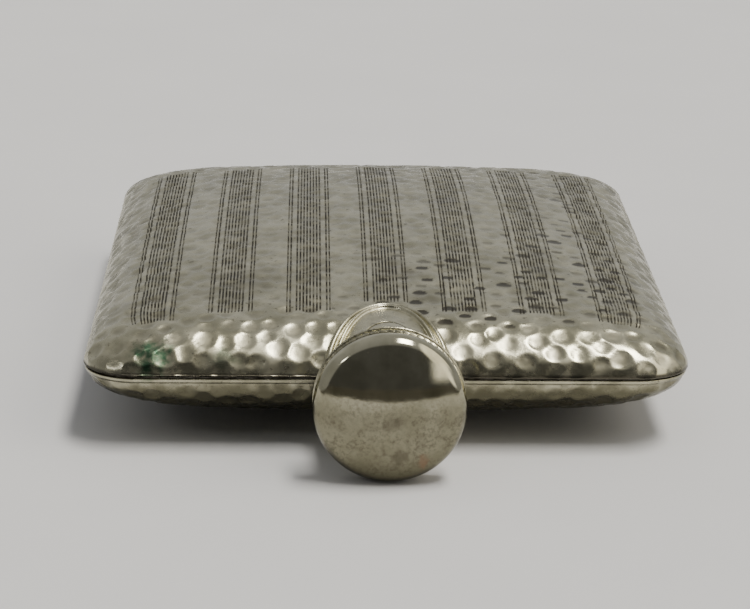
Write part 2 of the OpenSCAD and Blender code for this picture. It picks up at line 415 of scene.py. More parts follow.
def even_points(points, spread):
    """Points thinned to an even density by keeping one in each small cube."""
    cell = np.floor(points / spread).astype(int)
    _, first = np.unique(cell, axis=0, return_index=True)
    return points[first]


def hammer(piece, outer_count, seed, inner_tarnish, extra=None):
    """Hammers the outer skin, whose points come first in the mesh: deeply round the edge and lighter on the
    broad face, with painted shade on the far walls of the marks. The rest of the sheet is evenly tarnished."""
    rng = np.random.default_rng(seed)
    mesh = piece.data
    points, normals = vertex_points(mesh), vertex_normals(mesh)
    outer = points[:outer_count]
    candidates = even_points(outer, CANDIDATE_SPREAD)
    marks, painted_shade = hammer_marks(outer, candidates, rng)
    inset = inset_of(outer[:, 0], outer[:, 1] - BODY_Y)
    marks *= smoothstep(-0.4, 0.7, inset) * (1 - (1 - TOP_SHARE) * smoothstep(EDGE_RUN, EDGE_RUN + 5, inset))
    waves = WAVE_HEIGHT * (0.5 + 0.5 * waviness(outer, WAVE_SIZE, seed)) * smoothstep(0.3, 3, inset)
    sunk = marks + waves
    if extra is not None:
        sunk = sunk + extra
    points[:outer_count] -= normals[:outer_count] * sunk[:, None]
    points[:, 2] = np.maximum(points[:, 2], 0)
    set_points(mesh, points)
    hollow = np.zeros(len(points))
    hollow[:outer_count] = marks / HAMMER_DEPTH[1]
    set_attribute(mesh, "hollow", hollow)
    # Painted shade in the marks, strongest on the right and near the neck and fewer close to the edge; the
    # rim and the inside keep their even tarnish.
    towards_neck = BODY_Y - outer[:, 1]
    right = smoothstep(5, 36, outer[:, 0]) * (0.45 + 0.55 * smoothstep(-5, 25, towards_neck))
    near_neck = smoothstep(16, 32, towards_neck) * (0.15 + 0.85 * smoothstep(-12, 12, outer[:, 0]))
    shade_edge_fade = smoothstep(4.5, 8.5, inset)
    shade_and_tarnish = np.full(len(points), inner_tarnish)
    shade_and_tarnish[:outer_count] = painted_shade * (0.15 + 0.85 * np.maximum(right, near_neck)) * (0.3 + 0.7 * shade_edge_fade)
    rim = inner_tarnish * (1 - smoothstep(0.0, 0.12, inset))
    shade_and_tarnish[:outer_count] = np.maximum(shade_and_tarnish[:outer_count], rim)
    set_attribute(mesh, "shade_and_tarnish", shade_and_tarnish)


# The engraved bands: each is a group of fine lines with a pair of lines on each side
BAND_COUNT = 7
BAND_STEP = 11.91
LINE_STEP = 0.52
PAIR_STEP = 0.5
PAIR_GAP = 1.0
FINE_LINES = 8
GROOVE_HALF_WIDTH = 0.17
GROOVE_DEPTH = 0.10
# Where the bands start, in from the neck edge, from the middle band out to the last one on each side
NEAR_STOPS = (13.2, 10.1, 10.2, 8.4)
FAR_STOP = 12.6


def band_lines():
    """Offsets of a band's engraved lines from its middle: a pair, a group of fine lines, a pair."""
    half = (FINE_LINES - 1) * LINE_STEP / 2
    fine = [-half + k * LINE_STEP for k in range(FINE_LINES)]
    pair = [half + PAIR_GAP, half + PAIR_GAP + PAIR_STEP]
    return [-pair[1], -pair[0]] + fine + pair


def engraved_columns(half_width, widest):
    """Places across the flask for the columns of the front mesh, and which of them run in a groove."""
    places, marks = [-half_width], [0]
    for band in range(BAND_COUNT):
        middle = (band - (BAND_COUNT - 1) / 2) * BAND_STEP
        lines = band_lines()
        for before, line, after in zip([-BAND_STEP] + lines, lines, lines[1:] + [BAND_STEP]):
            if line - before > 2 * LINE_STEP:
                places.append(middle + line - GROOVE_HALF_WIDTH)
                marks.append(0)
            places.append(middle + line)
            marks.append(1)
            open_side = after - line > 2 * LINE_STEP
            places.append(middle + line + (GROOVE_HALF_WIDTH if open_side else (after - line) / 2))
            marks.append(0)
    places.append(half_width)
    marks.append(0)
    filled, filled_marks = [places[0]], [0]
    for place, mark in zip(places[1:], marks[1:]):
        gap = place - filled[-1]
        parts = max(1, math.ceil(gap / widest))
        filled += [filled[-1] + gap * k / parts for k in range(1, parts)]
        filled_marks += [0] * (parts - 1)
        filled.append(place)
        filled_marks.append(mark)
    return np.array(filled), np.array(filled_marks)


def graded_rows(half_length, fine, coarse, fine_length):
    """Row places from the neck end to the base: fine near the neck, coarser after it."""
    near = np.linspace(0, fine_length, round(fine_length / fine), endpoint=False)
    rest = 2 * half_length - fine_length
    far = np.linspace(fine_length, 2 * half_length, round(rest / coarse) + 1)
    return np.concatenate([near, far]) - half_length


# The grid of the broad face ends this far in, and rings take the skin from there round the edge
PATCH_INSET = 3.5
EDGE_STEPS = 19
GAPE = 0.2
# Shares to which the last rings of the inner skin shrink, in turn, as shell_piece takes them
INNER_SHRINK = (-0.8, -0.6, -0.5)
# Widest gaps between the mesh's lines: across, and along near the neck and further away
FRONT_COLUMN, FRONT_ROWS, FRONT_FINE_LENGTH = 0.37, (0.30, 0.54), 10.0
BACK_COLUMN, BACK_ROWS, BACK_FINE_LENGTH = 0.42, (0.36, 0.48), 12.0


def inner_rings(start, rise, top, base):
    """Rings of the inner skin, from the rim to the middle."""
    def height(x, y):
        return skin_height(x, y, start, rise, top, base)
    turns = [start + EDGE_RUN * (1 - math.cos(math.radians(a))) for a in (8, 25, 50, 75)]
    return [(inset, height) for inset in turns] + [(share, height) for share in INNER_SHRINK]


def engraving(columns_mark, n_rows, piece, outer_count):
    """Share of the full groove depth at each outer point."""
    points = vertex_points(piece.data)[:outer_count]
    n_patch = n_rows * len(columns_mark)
    mark = np.zeros(outer_count)
    mark[:n_patch] = np.tile(columns_mark, n_rows)
    band = np.clip(np.round(np.abs(points[:, 0]) / BAND_STEP), 0, len(NEAR_STOPS) - 1).astype(int)
    near = points[:, 1] - (BODY_Y - HALF_L) - np.array(NEAR_STOPS)[band]
    far = (BODY_Y + HALF_L) - points[:, 1] - FAR_STOP
    return mark * smoothstep(0, 0.45, near) * smoothstep(0, 0.45, far)


def gape(x, y):
    """How far the front rim has lifted from the seam: most on the left of the neck edge."""
    return GAPE * (1 - smoothstep(-5, 30, x)) * (1 - smoothstep(-52, -40, y))


def make_front_shell():
    half_width = HALF_W - PATCH_INSET
    half_length = HALF_L - PATCH_INSET
    columns, marks = engraved_columns(half_width, FRONT_COLUMN)
    rows = graded_rows(half_length, *FRONT_ROWS, FRONT_FINE_LENGTH)

    def outer(x, y):
        return skin_height(x, y, 0, EDGE_RISE, FRONT_CROWN, FRONT_RIM)

    edge = [(inset, outer) for inset in edge_insets(0, PATCH_INSET, EDGE_STEPS)[1:-1]]

    def rim_height(rise):
        return lambda x, y: FRONT_RIM + rise + gape(x, y)

    rim = [(0.0, rim_height(0.14)), (0.04, rim_height(0.04)), (0.14, rim_height(0)),
           (SHEET_T - 0.1, rim_height(0))]
    rings = edge + rim + inner_rings(SHEET_T, EDGE_RISE - SHEET_T, FRONT_CROWN, FRONT_RIM)
    piece = shell_piece("front_shell_hammered", columns, rows, PATCH_INSET, outer, rings, 1)
    outer_count = len(columns) * len(rows) + len(edge) * (2 * (len(columns) + len(rows)) - 4)
    groove = engraving(marks, len(rows), piece, outer_count)
    hammer(piece, outer_count, FRONT_SEED, FRONT_TARNISH, GROOVE_DEPTH * groove)
    engraved = np.zeros(len(piece.data.vertices))
    engraved[:outer_count] = groove
    set_attribute(piece.data, "engraved", engraved)
    return piece


def make_back_shell():
    half_width = HALF_W - PATCH_INSET
    half_length = HALF_L - PATCH_INSET
    columns = np.linspace(-half_width, half_width, round(2 * half_width / BACK_COLUMN))
    rows = graded_rows(half_length, *BACK_ROWS, BACK_FINE_LENGTH)

    def outer(x, y):
        return skin_height(x, y, OVERHANG, EDGE_RISE, BACK_CROWN, BACK_RIM)

    edge = [(inset, outer) for inset in edge_insets(OVERHANG, PATCH_INSET - OVERHANG, EDGE_STEPS)[1:-1]]
    flare = [(0.33, BACK_RIM + 0.75), (0.24, BACK_RIM + 0.42), (0.18, BACK_RIM + 0.24),
             (0.16, BACK_RIM + 0.12), (0.20, BACK_RIM + 0.03), (0.32, BACK_RIM), (LIP_INSET - 0.05, BACK_RIM)]
    lip = [(LIP_INSET, BACK_RIM - 0.08), (LIP_INSET, 0.1 - LIP_Z), (LIP_INSET + 0.1, -LIP_Z),
           (LIP_INSET + LIP_T - 0.1, -LIP_Z), (LIP_INSET + LIP_T, 0.1 - LIP_Z)]
    rings = edge + flare + lip + inner_rings(LIP_INSET + LIP_T, EDGE_RISE - SHEET_T, BACK_CROWN, BACK_RIM)
    piece = shell_piece("back_shell_hammered", columns, rows, PATCH_INSET, outer, rings, -1)
    outer_count = len(columns) * len(rows) + len(edge) * (2 * (len(columns) + len(rows)) - 4)
    hammer(piece, outer_count, BACK_SEED, 0.0)
    return piece


def neck_opening():
    """The space that the neck takes out of both shells."""
    reach = abs(SLEEVE_INNER_END)
    profile = [(0, -reach), (NECK_R - 0.02, -reach), (NECK_R - 0.02, reach), (0, reach)]
    return turned("neck_opening", profile, 160)


# ---- Neck ----------------------------------------------------------------------------------

ARCH_POWER = 2.1
COLLAR_TURNS = 320
# Each point of the moulding: share of the way to the arch, distance out, height
MOULDING = [(1, 0, 0.3), (1, 0.1, 0.7), (1, 0.45, 0.75), (1, 0.6, 0.35), (1, 0.75, 0.12), (1, 0.95, 0.14),
            (1, 1.1, 0.5), (1, 1.45, 0.55), (1, 1.65, 0.2), (1, 1.9, 0.02), (1, 1.9, -0.3), (0.5, 0, -0.3),
            (0, 0, -0.3)]
# The neck flares into the moulding over this length
FLARE_LENGTH = 6.5
FLARE_STEPS = 14


def shoulder_height(x, d, side):
    """Height of a skin over the seam plane, d in from the neck edge; side is 1 on the front and -1 on
    the back."""
    t = np.clip(d / EDGE_RUN, 0, 1)
    e = np.sqrt(1 - (1 - t) ** 2)
    rim = np.where(side > 0, FRONT_RIM, BACK_RIM)
    return rim + e * (EDGE_RISE + np.where(side > 0, FRONT_CROWN, BACK_CROWN) * crown(x, HALF_L - d))


def junction(angle):
    """How far in the sleeve meets the shoulder, at each angle round the neck."""
    x, z = NECK_R * np.sin(angle), NECK_R * np.abs(np.cos(angle))
    low, high = np.zeros_like(angle), np.full_like(angle, 30.0)
    for _ in range(30):
        middle = (low + high) / 2
        under = shoulder_height(x, middle, np.cos(angle)) < z
        low, high = np.where(under, middle, low), np.where(under, high, middle)
    return high


def make_collar():
    angle = (np.arange(COLLAR_TURNS) + 0.5) * 2 * math.pi / COLLAR_TURNS
    side = np.sign(np.cos(angle))
    start = junction(angle)
    front_top, back_top = junction(np.array([0.0, math.pi]))
    top = np.where(side > 0, front_top, back_top)
    arch = np.maximum(start, top * np.abs(np.cos(angle)) ** ARCH_POWER)
    step = 0.2
    rows = []
    for share, out, lift in chaikin(MOULDING, 2):
        x = (NECK_R + out) * np.sin(angle)
        d = start + (arch - start) * share + out * np.abs(np.cos(angle))
        z = shoulder_height(x, d, side)
        slope_x = (shoulder_height(x + step, d, side) - shoulder_height(x - step, d, side)) / (2 * step)
        slope_d = (shoulder_height(x, d + step, side) - z) / step
        size = np.sqrt(slope_x**2 + slope_d**2 + 1)
        rows.append(np.stack([x - lift * slope_x / size,
                              NECK_EDGE_Y + d - lift * slope_d / size,
                              SEAM_Z + side * (z + lift / size)], -1))
    foot = rows[0] - [0, 0, SEAM_Z]
    foot_r = np.hypot(foot[:, 0], foot[:, 2])
    flare = []
    for t in np.linspace(0, 1, FLARE_STEPS, endpoint=False):
        scale = (NECK_R + 0.02 + (foot_r - NECK_R - 0.02) * t**2) / foot_r
        flare.append(np.stack([foot[:, 0] * scale, foot[:, 1] - FLARE_LENGTH * (1 - t),
                               foot[:, 2] * scale + SEAM_Z], -1))
    points = np.stack(flare + rows)
    index = np.arange(points.shape[0] * points.shape[1]).reshape(points.shape[:2])
    below, beside = np.roll(index, -1, 0), np.roll(index, -1, 1)
    quads = np.stack([index, beside, np.roll(below, -1, 1), below], -1).reshape(-1, 4)
    return mesh_piece("neck_collar_moulded", points.reshape(-1, 3), [quads])


SLEEVE_T = 0.6
BORE_R = 6.0


def make_sleeve():
    inner = NECK_R - SLEEVE_T
    start, end, b = SLEEVE_INNER_END, SLEEVE_OUTER_END, 0.12
    outside = [(NECK_R, s) for s in np.linspace(start + b, end - b, 30)]
    profile = [(inner, start), (NECK_R - b, start)] + outside + [(NECK_R - b, end), (inner, end)]

    def hand_made(radius, along, turn):
        dent = 0.03 * np.sin(2 * turn + 0.4 * along) + 0.02 * np.sin(5 * turn - 0.6 * along)
        return np.where(radius > NECK_R - 0.01, radius - 0.05 + dent, radius), along

    return turned("neck_sleeve_drawn", profile, 192, hand_made)


THREAD_PITCH = 1.6
THREAD_DEPTH = 0.55
THREAD_CREST, THREAD_ROOT = 0.35, 0.75
NECK_THREAD_R = NECK_R - 0.3
THREAD_GAP = 0.15
SEAT_T = 0.3


def thread_height(along, turn, start):
    """Share of the full thread height at a station and angle, for a ridge that begins at start."""
    phase = (along - start - THREAD_ROOT / 2) / THREAD_PITCH - turn / (2 * math.pi)
    off = np.abs(phase - np.round(phase)) * THREAD_PITCH
    return np.clip((THREAD_ROOT / 2 - off) / ((THREAD_ROOT - THREAD_CREST) / 2), 0, 1)


def make_ferrule():
    shank = NECK_R - SLEEVE_T
    root = NECK_THREAD_R - THREAD_DEPTH
    first = SLEEVE_OUTER_END + SEAT_T
    last = FERRULE_LIP
    threaded = [(root, s) for s in np.linspace(first, last - 0.15, 64)]
    profile = [(BORE_R + 0.1, FERRULE_INNER_END), (shank, FERRULE_INNER_END), (shank, SLEEVE_OUTER_END),
               (NECK_R - 0.1, SLEEVE_OUTER_END), (NECK_R - 0.02, SLEEVE_OUTER_END + 0.1),
               (NECK_R - 0.02, first - 0.1), (NECK_R - 0.12, first)]
    profile += threaded + [(root - 0.12, last), (BORE_R + 0.12, last), (BORE_R, last - 0.12)]
    profile += [(BORE_R, s) for s in np.linspace(last - 1, FERRULE_INNER_END + 0.1, 8)]

    def screw(radius, along, turn):
        on_thread = np.isclose(radius, root)
        ends = smoothstep(first, first + 0.3, along) * (1 - smoothstep(last - 0.7, last - 0.25, along))
        ridge = thread_height(along, turn, RIM_GAP) * THREAD_DEPTH * ends
        return np.where(on_thread, radius + ridge, radius), along

    return turned("neck_ferrule_turned", profile, 192, screw)


# ---- Cap -----------------------------------------------------------------------------------

SHOULDER_R = 2.5
DOME_R = 25.0
SHOULDER_STATION = RIM_GAP + 3.4
DOME_T = 0.7
DOME_SKIRT_R = 11.0
# Shallow dents in the cap: depth, size, seed
CAP_DENTS = [(0.05, 7.0, 5), (0.02, 2.4, 9)]


def dome_profile(inward, shoulder_steps, top_steps):
    """Outer skin of the cap from its skirt to its middle, set in by this much."""
    axis_r = CAP_R - SHOULDER_R
    centre = SHOULDER_STATION - math.sqrt((DOME_R - SHOULDER_R) ** 2 - axis_r**2)
    tangent = math.acos(axis_r / (DOME_R - SHOULDER_R))
    bend_r = SHOULDER_R - inward
    shoulder = [(axis_r + bend_r * math.cos(a), SHOULDER_STATION + bend_r * math.sin(a))
                for a in np.linspace(0, tangent, shoulder_steps)]
    top = [((DOME_R - inward) * math.cos(a), centre + (DOME_R - inward) * math.sin(a))
           for a in np.linspace(tangent, math.pi / 2, top_steps)[1:]]
    top[-1] = (0, top[-1][1])
    skirt = [(r, s) for r, s in zip(np.linspace(DOME_SKIRT_R - inward, CAP_R - inward, 6)[:-1],
                                    np.linspace(DOME_START, SHOULDER_STATION, 6)[:-1])]
    return skirt + shoulder + top


def make_dome():
    outer = dome_profile(0, 30, 90)
    inner = dome_profile(DOME_T, 12, 16)
    piece = turned("cap_dome_drawn", outer[::-1] + inner, 256)
    mesh = piece.data
    points, normals = vertex_points(mesh), vertex_normals(mesh)
    outward = np.hypot(points[:, 0], points[:, 2] - SEAM_Z)
    front = NECK_EDGE_Y - points[:, 1] > DOME_START + 0.2
    facing = normals[:, 1] < 0.25
    skin = front & (facing | (outward > CAP_R - 0.5))
    dents = sum(depth * (0.5 + 0.5 * waviness(points, size, seed)) for depth, size, seed in CAP_DENTS)
    points -= normals * (skin * dents)[:, None]
    set_points(mesh, points)
    return piece


MILLED_R = (barrel_high[0] - barrel_low[0]) / 2
ROPE_COUNT = 60
ROPE_DEPTH = 0.32
ROPE_TWIST = 1.6
ROPE_CORE_R = 10.4
BARREL_R = 9.0
RECESS_R = 8.45
RECESS_START = RIM_GAP + 3.25


def make_barrel():
    root = NECK_THREAD_R + THREAD_GAP
    crest = root - THREAD_DEPTH
    lip = CAP_R - 0.02
    ring = chaikin([(ROPE_CORE_R, RIM_GAP), (lip, RIM_GAP), (lip, RIM_GAP + 0.45),
                    (ROPE_CORE_R, RIM_GAP + 0.5)], 2)
    rope_start, rope_end = RIM_GAP + 0.5, DOME_START
    middle = (rope_start + rope_end) / 2
    half = (rope_end - rope_start) / 2
    rope = [(ROPE_CORE_R + 0.05 + (MILLED_R + 0.2 - ROPE_CORE_R) * math.sin(a), middle - half * math.cos(a))
            for a in np.linspace(0.12, math.pi - 0.12, 18)]
    wall = [(BARREL_R, DOME_START), (BARREL_R, BARREL_END - 0.1), (BARREL_R - 0.1, BARREL_END),
            (RECESS_R, BARREL_END), (RECESS_R, RECESS_START), (root, RECESS_START)]
    bore = [(root, s) for s in np.linspace(RECESS_START - 0.02, RIM_GAP + 0.4, 60)]
    mouth = [(root + 0.15, RIM_GAP + 0.05), (root + 0.4, RIM_GAP)]
    profile = [tuple(p) for p in ring] + rope + [(ROPE_CORE_R, rope_end)] + wall + bore + mouth

    def shape(radius, along, turn):
        on_rope = (radius > ROPE_CORE_R) & (along > rope_start)
        swing = turn * ROPE_COUNT / (2 * math.pi) + ROPE_TWIST * (along - middle) / (2 * half)
        cut_in = ROPE_DEPTH * (0.5 - 0.5 * np.cos(2 * math.pi * swing)) ** 0.6
        edge = np.sin(np.clip((along - rope_start) / (rope_end - rope_start), 0, 1) * math.pi)
        radius = np.where(on_rope, radius - cut_in * (0.35 + 0.65 * edge), radius)
        in_bore = np.isclose(radius, root) & (along < RECESS_START)
        start = RIM_GAP + THREAD_PITCH / 2
        run_out = 1 - smoothstep(RECESS_START - 0.35, RECESS_START, along)
        ends = smoothstep(start, start + 0.3, along) * run_out
        ridge = thread_height(along, turn, start) * (root - crest) * ends
        return np.where(in_bore, radius - ridge, radius), along

    return turned("cap_barrel_milled", profile, 480, shape)


def make_cork():
    r = (cork_high[0] - cork_low[0]) / 2
    start, end, b = station(cork_high[1]), station(cork_low[1]), 0.2
    face = [(r * k / 14, start) for k in range(14)]
    back = [(r * k / 8, end) for k in range(8)]
    profile = face + [(r - b, start), (r, start + b), (r, end - b), (r - b, end)] + back[::-1]
    piece = turned("cork_disc_cut", profile, 128)
    points = vertex_points(piece.data)
    radius = np.hypot(points[:, 0], points[:, 2] - SEAM_Z)
    shrink = 0.05 * (0.5 + 0.5 * waviness(points, 1.3, 3)) * (radius > 1)
    inward = np.stack([points[:, 0], 0 * radius, points[:, 2] - SEAM_Z], -1) / np.maximum(radius, 1)[:, None]
    set_points(piece.data, points - inward * shrink[:, None])
    return piece


def make_plate():
    r = (plate_high[0] - plate_low[0]) / 2
    start, end, b = station(plate_high[1]), station(plate_low[1]), 0.08
    profile = [(0, start), (r * 0.5, start), (r - b, start), (r, start + b), (r, end - b), (r - b, end),
               (r * 0.5, end), (0, end)]
    return turned("liner_plate_stamped", profile, 128)


# ---- Finishes ------------------------------------------------------------------------------


class Nodes:
    """Adds nodes to a node tree. Wherever a value is asked for, it takes a number or the output of a node."""

    def __init__(self, tree):
        self.tree = tree

    def add(self, kind, **settings):
        node = self.tree.nodes.new(kind)
        for key, value in settings.items():
            setattr(node, key, value)
        return node

    def feed(self, socket, value):
        if isinstance(value, bpy.types.NodeSocket):
            self.tree.links.new(value, socket)
        else:
            socket.default_value = value

    def maths(self, operation, first, second=0.0):
        node = self.add("ShaderNodeMath", operation=operation)
        self.feed(node.inputs[0], first)
        self.feed(node.inputs[1], second)
        return node.outputs[0]

    def plus(self, first, second):
        return self.maths("ADD", first, second)

    def minus(self, first, second):
        return self.maths("SUBTRACT", first, second)

    def times(self, first, second):
        return self.maths("MULTIPLY", first, second)

    def spread(self, value, low, high, to_low=0.0, to_high=1.0):
        """The value mapped smoothly from low..high to to_low..to_high."""
        node = self.add("ShaderNodeMapRange", interpolation_type="SMOOTHSTEP")
        for key, number in (("From Min", low), ("From Max", high), ("To Min", to_low), ("To Max", to_high)):
            node.inputs[key].default_value = number
        self.feed(node.inputs["Value"], value)
        return node.outputs["Result"]

    def blend(self, share, under, over, kind="RGBA"):
        """Mixes two colours, or two numbers where the kind is FLOAT."""
        node = self.add("ShaderNodeMix", data_type=kind)
        self.feed(node.inputs["Factor"], share)
        for key, value in (("A", under), ("B", over)):
            self.feed(node.inputs[key], (*value, 1) if isinstance(value, tuple) else value)
        return node.outputs["Result"]


class Finish(Nodes):
    """A procedural material. Its colour, roughness and relief come from nodes in object coordinates."""

    def __init__(self, name, metallic=1.0):
        self.material = bpy.data.materials.new(name)
        self.material.use_nodes = True
        super().__init__(self.material.node_tree)
        self.shader = self.tree.nodes["Principled BSDF"]
        self.shader.inputs["Metallic"].default_value = metallic
        self.place = self.add("ShaderNodeTexCoord").outputs["Object"]

    def noise(self, size, detail=3.0, rough=0.55):
        """Noise whose patches are about this many millimetres across."""
        node = self.add("ShaderNodeTexNoise")
        node.inputs["Scale"].default_value = 1 / (size * MM)
        node.inputs["Detail"].default_value = detail
        node.inputs["Roughness"].default_value = rough
        self.feed(node.inputs["Vector"], self.place)
        return node.outputs["Fac"]

    def cells(self, size):
        """Distance to the middle of cells about this many millimetres across."""
        node = self.add("ShaderNodeTexVoronoi", feature="F1")
        node.inputs["Scale"].default_value = 1 / (size * MM)
        self.feed(node.inputs["Vector"], self.place)
        return node.outputs["Distance"]

    def attribute(self, name):
        return self.add("ShaderNodeAttribute", attribute_name=name).outputs["Fac"]

    def below(self, high, low):
        """One under the lower height in millimetres, and nothing over the higher one."""
        node = self.add("ShaderNodeSeparateXYZ")
        self.feed(node.inputs[0], self.place)
        wobble = self.spread(self.noise(3, 4), 0.2, 0.8, -0.8 * MM, 0.8 * MM)
        return self.spread(self.plus(node.outputs["Z"], wobble), low * MM, high * MM, 1.0, 0.0)

    def near(self, centre, inner, outer):
        """One inside a ball round a point in millimetres, and nothing outside a larger one."""
        node = self.add("ShaderNodeVectorMath", operation="DISTANCE")
        self.feed(node.inputs[0], self.place)
        node.inputs[1].default_value = [c * MM for c in centre]
        wobble = self.spread(self.noise(2.2, 4), 0.2, 0.8, -1.2 * MM, 1.2 * MM)
        return self.spread(self.plus(node.outputs["Value"], wobble), inner * MM, outer * MM, 1.0, 0.0)

    def finish(self, colour, roughness, relief=None, relief_height=0.0):
        """The finished material. Relief is in shares of relief_height, which is in millimetres."""
        self.feed(self.shader.inputs["Base Color"], colour)
        self.feed(self.shader.inputs["Roughness"], roughness)
        if relief is not None:
            bump = self.add("ShaderNodeBump")
            bump.inputs["Distance"].default_value = relief_height * MM
            bump.inputs["Strength"].default_value = 1.0
            self.feed(bump.inputs["Height"], relief)
            self.feed(self.shader.inputs["Normal"], bump.outputs["Normal"])
        return self.material


BRIGHT = (0.57, 0.543, 0.405)
DULL = (0.41, 0.389, 0.275)
DARK_OLIVE = (0.142, 0.134, 0.088)
PATINA = (0.10, 0.088, 0.062)
# The darkest colour below paints the shade in the hammer marks, and the tarnish on the front rim and inside.
SHADE_AND_TARNISH_DARK = (0.05, 0.044, 0.036)
ENGRAVED = (0.035, 0.031, 0.023)
VERDIGRIS = (0.06, 0.125, 0.072)
RUST = (0.23, 0.12, 0.075)

# Verdigris along the neck edge: middle of each spot, its full and its outer radius, strength
GREEN_SPOTS = [
    ((-35.3, NECK_EDGE_Y + 1.6, SEAM_Z + 3.0), 1.6, 4.0, 1.0),
    ((-24.3, NECK_EDGE_Y + 1.0, SEAM_Z + 2.6), 0.5, 2.2, 0.5),
]


def hammered_plate():
    f = Finish("hammered_plate")
    mottle = f.spread(f.noise(6, 5), 0.35, 0.65)
    colour = f.blend(mottle, DULL, BRIGHT)
    stain = f.spread(f.noise(14, 4), 0.52, 0.72, 0, 0.35)
    colour = f.blend(stain, colour, PATINA)
    hollow = f.attribute("hollow")
    deep = f.times(f.spread(hollow, 0.25, 1.0), f.spread(f.noise(4, 3), 0.3, 0.7, 0.05, 0.55))
    colour = f.blend(deep, colour, PATINA)
    # Painted shade: dark crescents on the far walls of the hammer marks; also the tarnish on the rim and
    # inside.
    colour = f.blend(f.spread(f.attribute("shade_and_tarnish"), 0.08, 0.75, 0, 0.88), colour, SHADE_AND_TARNISH_DARK)
    specks = f.times(f.spread(f.noise(0.9, 3), 0.62, 0.72), 0.6)
    colour = f.blend(specks, colour, PATINA)
    # Darker below the seam, towards the bottom of the flask.
    underside = f.below(SEAM_Z, SEAM_Z - 2.5)
    colour = f.blend(underside, colour, DARK_OLIVE)
    engraved = f.times(f.spread(f.attribute("engraved"), 0.2, 0.65),
                     f.spread(f.noise(1.6, 4), 0.3, 0.6, 0.5, 1.0))
    colour = f.blend(engraved, colour, ENGRAVED)
    for centre, inner, outer, share in GREEN_SPOTS:
        green = f.times(f.near(centre, inner, outer), f.spread(f.noise(1.4, 4), 0.3, 0.6, 0.2, share))
        colour = f.blend(green, colour, VERDIGRIS)
    rough = f.spread(f.noise(3, 5), 0.3, 0.7, 0.2, 0.34)
    rough = f.plus(rough, f.times(deep, 0.25))
    rough = f.plus(rough, f.times(engraved, 0.3))
    relief = f.plus(f.noise(0.5, 4), f.times(f.noise(0.16, 2), 0.3))
    return f.finish(colour, rough, relief, 0.012)


def plain_plate():
    f = Finish("plain_plate")
    colour = f.blend(f.spread(f.noise(4, 5), 0.35, 0.65), DULL, BRIGHT)
    colour = f.blend(f.spread(f.noise(1.6, 4), 0.55, 0.75, 0, 0.6), colour, PATINA)
    rough = f.spread(f.noise(1.5, 4), 0.3, 0.7, 0.22, 0.38)
    relief = f.noise(0.4, 4)
    return f.finish(colour, rough, relief, 0.012)


def cap_plate():
    f = Finish("cap_plate")
    colour = f.blend(f.spread(f.noise(5, 5), 0.35, 0.65), DULL, BRIGHT)
    worn = f.below(SEAM_Z + 5.5, SEAM_Z - 1.0)
    colour = f.blend(f.times(worn, 0.7), colour, DARK_OLIVE)
    # Darker towards the bottom of the cap.
    colour = f.blend(f.below(SEAM_Z - 5.0, SEAM_Z - 10.5), colour, DARK_OLIVE)
    pits = f.spread(f.noise(0.6, 4, 0.7), 0.45, 0.62)
    pitted = f.times(pits, f.times(worn, f.spread(f.noise(3, 3), 0.35, 0.6, 0.35, 1.0)))
    colour = f.blend(f.times(pitted, 0.55), colour, PATINA)
    blotches = f.times(worn, f.spread(f.noise(1.5, 3, 0.6), 0.5, 0.7, 0, 0.4))
    colour = f.blend(blotches, colour, PATINA)
    smudge = f.near((1.0, NECK_EDGE_Y - CAP_APEX, SEAM_Z - 1.2), 0.4, 2.0)
    colour = f.blend(f.times(smudge, 0.5), colour, PATINA)
    spot = f.near((1.2, NECK_EDGE_Y - CAP_APEX + 0.7, SEAM_Z - 6.8), 0.3, 1.9)
    colour = f.blend(f.times(spot, 0.6), colour, PATINA)
    rust = f.near((5.0, NECK_EDGE_Y - CAP_APEX + 1.8, SEAM_Z - 7.8), 0.1, 1.5)
    colour = f.blend(f.times(rust, 0.5), colour, RUST)
    dulled = f.below(SEAM_Z + 2.2, SEAM_Z - 1.0)
    rough = f.plus(f.spread(f.noise(2, 4), 0.3, 0.7, 0.075, 0.12), f.times(dulled, 0.14))
    return f.finish(colour, rough, f.plus(f.noise(0.7, 3), f.times(pitted, -0.4)), 0.004)


def brass():
    f = Finish("brass")
    colour = f.blend(f.spread(f.noise(3, 5), 0.35, 0.65), (0.42, 0.34, 0.19), (0.60, 0.50, 0.30))
    colour = f.blend(f.spread(f.noise(1.1, 4), 0.55, 0.75, 0, 0.6), colour, (0.12, 0.09, 0.05))
    rough = f.spread(f.noise(1.5, 4), 0.3, 0.7, 0.24, 0.42)
    return f.finish(colour, rough, f.noise(0.3, 4), 0.01)


def milled_plate():
    f = Finish("milled_plate")
    colour = f.blend(f.spread(f.noise(3, 5), 0.35, 0.65), DULL, BRIGHT)
    colour = f.blend(f.spread(f.noise(0.7, 4), 0.5, 0.7, 0, 0.7), colour, PATINA)
    rough = f.spread(f.noise(1, 4), 0.3, 0.7, 0.24, 0.4)
    return f.finish(colour, rough, f.noise(0.3, 4), 0.012)


def solder():
    f = Finish("solder")
    colour = f.blend(f.spread(f.noise(1.2, 5), 0.35, 0.65), (0.05, 0.045, 0.035), (0.14, 0.13, 0.11))
    rough = f.spread(f.noise(0.8, 4), 0.3, 0.7, 0.45, 0.7)
    return f.finish(colour, rough, f.noise(0.5, 4), 0.05)


def cork():
    f = Finish("cork", metallic=0.0)
    grain = f.noise(1.2, 5)
    colour = f.blend(f.spread(grain, 0.3, 0.7), (0.30, 0.17, 0.08), (0.56, 0.37, 0.20))
    pores = f.spread(f.cells(1.1), 0.12, 0.25, 1.0, 0.0)
    colour = f.blend(pores, colour, (0.10, 0.05, 0.025))
    relief = f.minus(grain, pores)
    return f.finish(colour, f.spread(grain, 0.3, 0.7, 0.7, 0.9), relief, 0.12)


